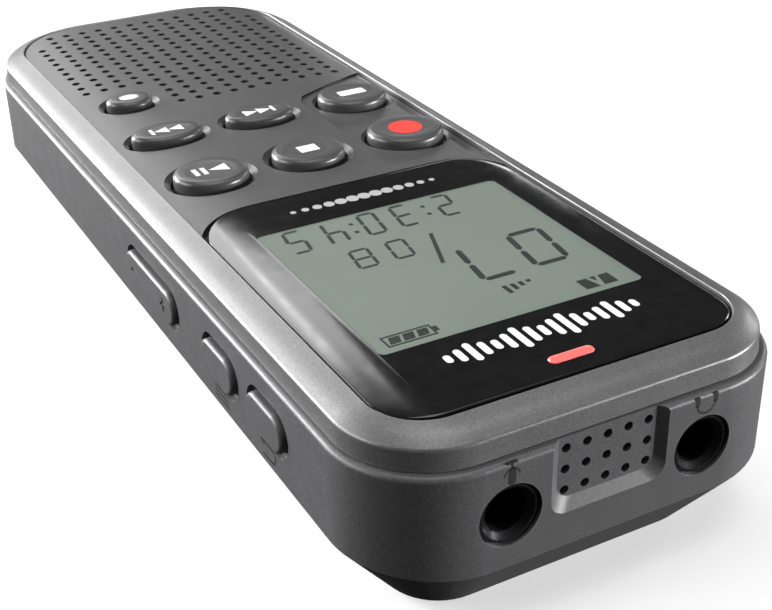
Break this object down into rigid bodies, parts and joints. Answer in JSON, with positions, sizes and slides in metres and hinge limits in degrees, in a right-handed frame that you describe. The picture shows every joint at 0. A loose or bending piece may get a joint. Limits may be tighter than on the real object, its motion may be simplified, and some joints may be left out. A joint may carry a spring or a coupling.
{
  "type": "handheld voice recorder",
  "caption": "Slim handheld voice recorder with a glossy display, oval keys, speaker grille, side rocker and keys, jacks on one end and a sliding battery door.",
  "frame": {"origin": "middle of the flat back face, in the middle of the footprint", "axes": "+Z out of the display, +Y from the jack end to the speaker end, -X the side with the volume rocker"},
  "size_m": [0.0388, 0.108, 0.0188],
  "materials": {
    "case": "fine-grained anthracite moulding",
    "rim": "satin silver-grey paint with a fine grain",
    "panel": "smooth dark grey satin",
    "key": "dark grey, semi-gloss",
    "lens": "polished black",
    "lcd": "grey-green liquid crystal display",
    "segment": "dark display segments",
    "white_print": "white printed symbols",
    "record_red": "red printed dot",
    "lamp": "translucent red light pipe",
    "dark_print": "dark printed symbols",
    "holder": "white moulding",
    "rubber": "soft black silicone",
    "mat": "grey silicone",
    "jack": "dark moulding",
    "board": "green solder mask",
    "chip": "black epoxy package",
    "steel": "nickel-plated steel",
    "dome": "stainless spring steel",
    "gold": "gold-plated contacts",
    "magnet": "plated ferrite magnet",
    "cone": "speaker film",
    "mesh": "black dust cloth",
    "foam": "closed-cell foam",
    "cell": "plain wrapped cell",
    "screw": "black zinc-plated steel"
  },
  "bodies": {
    "case": {"bottom_shell": "case", "top_shell": "rim", "keypad_panel": "panel", "display_lens": "lens", "lamp_light_pipe": "lamp", "lcd_glass": "lcd", "lcd_holder": "holder", "lcd_connector": "rubber", "key_mat": "mat", "dome_switches": "dome", "side_switches": "chip", "hold_switch": "steel", "usb_socket": "steel", "usb_tongue": "chip", "mic_jack": "jack", "earphone_jack": "jack", "jack_pins": "gold", "mic_capsule": "steel", "mic_boot": "rubber", "circuit_board": "board", "main_chip": "chip", "memory_chip": "chip", "board_parts": "chip", "speaker_basket": "steel", "speaker_magnet": "magnet", "speaker_cone": "cone", "speaker_gasket": "foam", "speaker_mesh": "mesh", "battery_left": "cell", "battery_right": "cell", "battery_spring_near": "steel", "battery_spring_far": "steel", "battery_contacts": "steel", "battery_bridge": "steel", "case_screws": "screw", "board_screws": "screw"},
    "play_pause_key": {"play_pause_key": "key"},
    "stop_key": {"stop_key": "key"},
    "record_key": {"record_key": "key"},
    "forward_key": {"forward_key": "key"},
    "rewind_key": {"rewind_key": "key"},
    "file_key": {"file_key": "key"},
    "index_key": {"index_key": "key"},
    "menu_key": {"menu_key": "case"},
    "repeat_key": {"repeat_key": "case"},
    "volume_rocker": {"volume_rocker": "case"},
    "hold_slider": {"hold_slider": "case"},
    "hold_switch_lever": {"hold_switch_lever": "chip"},
    "battery_door": {"battery_door": "case"}
  },
  "joints": [
    {"name": "play_pause_key_press", "type": "slide", "parent": "case", "child": "play_pause_key", "axis": [0, 0, -1], "range_m": [0, 0.0004], "stiffness_N_per_m": 1500, "springref_m": -0.0004},
    {"name": "stop_key_press", "type": "slide", "parent": "case", "child": "stop_key", "axis": [0, 0, -1], "range_m": [0, 0.0004], "stiffness_N_per_m": 1500, "springref_m": -0.0004},
    {"name": "record_key_press", "type": "slide", "parent": "case", "child": "record_key", "axis": [0, 0, -1], "range_m": [0, 0.0004], "stiffness_N_per_m": 1500, "springref_m": -0.0004},
    {"name": "forward_key_press", "type": "slide", "parent": "case", "child": "forward_key", "axis": [0, 0, -1], "range_m": [0, 0.0004], "stiffness_N_per_m": 1500, "springref_m": -0.0004},
    {"name": "rewind_key_press", "type": "slide", "parent": "case", "child": "rewind_key", "axis": [0, 0, -1], "range_m": [0, 0.0004], "stiffness_N_per_m": 1500, "springref_m": -0.0004},
    {"name": "file_key_press", "type": "slide", "parent": "case", "child": "file_key", "axis": [0, 0, -1], "range_m": [0, 0.0004], "stiffness_N_per_m": 1500, "springref_m": -0.0004},
    {"name": "index_key_press", "type": "slide", "parent": "case", "child": "index_key", "axis": [0, 0, -1], "range_m": [0, 0.0004], "stiffness_N_per_m": 1500, "springref_m": -0.0004},
    {"name": "menu_key_press", "type": "slide", "parent": "case", "child": "menu_key", "axis": [1, 0, 0], "range_m": [0, 0.0004], "stiffness_N_per_m": 1500, "springref_m": -0.0004},
    {"name": "repeat_key_press", "type": "slide", "parent": "case", "child": "repeat_key", "axis": [1, 0, 0], "range_m": [0, 0.0004], "stiffness_N_per_m": 1500, "springref_m": -0.0004},
    {"name": "volume_rock", "type": "hinge", "parent": "case", "child": "volume_rocker", "pos_m": [-0.01695, -0.0093, 0.0109], "axis": [0, 0, 1], "range_deg": [-2.5, 2.5], "stiffness_Nm_per_rad": 0.12},
    {"name": "hold_slide", "type": "slide", "parent": "case", "child": "hold_slider", "axis": [0, 1, 0], "range_m": [0, 0.003]},
    {"name": "hold_lever_slide", "type": "slide", "parent": "case", "child": "hold_switch_lever", "axis": [0, 1, 0], "range_m": [0, 0.003]},
    {"name": "battery_door_slide", "type": "slide", "parent": "case", "child": "battery_door", "axis": [0, 1, 0], "range_m": [0, 0.046]}
  ],
  "couplings": [
    {"joint": "hold_lever_slide", "follows": "hold_slide", "ratio": 1}
  ]
}
